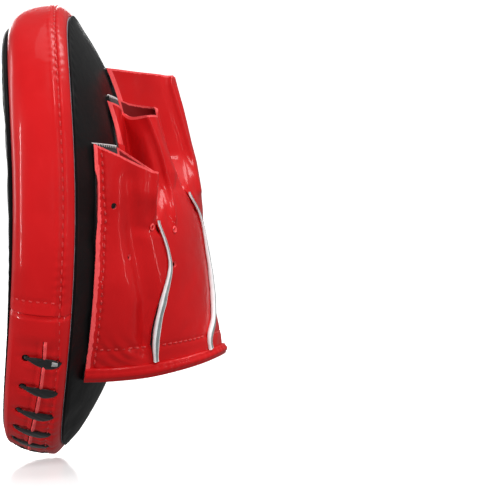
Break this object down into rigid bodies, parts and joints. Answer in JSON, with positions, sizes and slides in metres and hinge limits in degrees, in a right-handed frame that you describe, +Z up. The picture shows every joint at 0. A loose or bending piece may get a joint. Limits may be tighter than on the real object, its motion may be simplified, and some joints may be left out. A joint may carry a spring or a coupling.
{
  "type": "focus mitt",
  "caption": "Curved focus mitt for the left hand: a bowed, laced striking pad with an open-fingered leather glove sewn on its back.",
  "frame": {"origin": "middle of the mitt's box at floor level, where its lowest edge rests", "axes": "+Z up the fingers, +Y out of the hand side with the glove, -Y out of the strike face, +X towards the little finger"},
  "size_m": [0.202, 0.1204, 0.248],
  "materials": {
    "red_leather": "glossy coated artificial leather, fine grain",
    "black_leather": "satin coated artificial leather, fine grain",
    "palm_cloth": "matt knitted backing cloth",
    "lining_cloth": "matt woven lining",
    "backing_cloth": "matt woven strip",
    "elastic_web": "ribbed elastic",
    "red_thread": "bonded sewing thread",
    "white_thread": "bonded sewing thread",
    "white_piping": "glossy coated piping over a cord",
    "lace_cord": "waxed flat lace",
    "foam_soft": "closed-cell foam",
    "foam_firm": "dense closed-cell foam"
  },
  "bodies": {
    "root": {"strike_face": "black_leather", "back_face": "black_leather", "gusset_top_band": "red_leather", "gusset_bottom_band": "red_leather", "gusset_topstitch": "red_thread", "lap_stitch_near": "red_thread", "lap_stitch_far": "red_thread", "slit_backing": "backing_cloth", "lace": "lace_cord", "foam_strike_layer": "foam_soft", "foam_middle_layer": "foam_firm", "foam_hand_layer": "foam_soft", "palm_panel": "palm_cloth", "palm_overlock": "white_thread", "palm_grip": "palm_cloth", "little_finger_sleeve": "red_leather", "ring_finger_sleeve": "red_leather", "middle_finger_sleeve": "red_leather", "index_finger_sleeve": "red_leather", "thumb_sleeve": "red_leather", "piping_little_ring": "white_piping", "piping_ring_middle": "white_piping", "piping_middle_index": "white_piping", "glove_lining": "lining_cloth", "cuff_elastic": "elastic_web", "cuff_binding": "red_leather", "cuff_stitch": "red_thread", "edge_stitch_near": "red_thread", "edge_stitch_far": "red_thread"}
  },
  "joints": []
}
